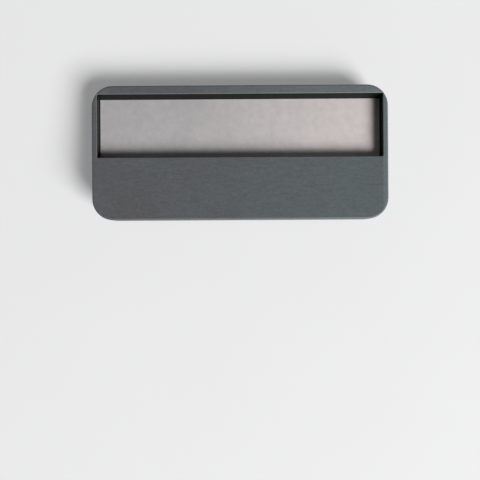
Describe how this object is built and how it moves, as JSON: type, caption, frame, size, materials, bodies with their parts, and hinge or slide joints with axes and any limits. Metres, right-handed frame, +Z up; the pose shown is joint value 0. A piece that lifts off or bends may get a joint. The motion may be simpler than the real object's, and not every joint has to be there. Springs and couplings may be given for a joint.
{
  "type": "name badge",
  "caption": "Flat plastic name badge with a rounded slate-grey face, a long label window, and two pocket clips, a push-out tongue and a straight pin on its black back.",
  "frame": {"origin": "middle of the badge's footprint, at the surface that its two pocket clips stand on", "axes": "+X right along the badge as seen from the front, +Y towards the window's side, +Z up; the face looks up and leans 6.0 degrees towards +Y, as the clips hold it"},
  "size_m": [0.075, 0.0342, 0.0099],
  "materials": {
    "face_plastic": "satin, fine spark grain",
    "label_card": "matte silver front, white back",
    "back_plastic": "matte moulded black",
    "pin_wire": "drawn steel wire"
  },
  "bodies": {
    "root": {"face_plate": "face_plastic", "label_insert": "label_card", "back_plate": "back_plastic", "pin": "pin_wire"}
  },
  "joints": []
}
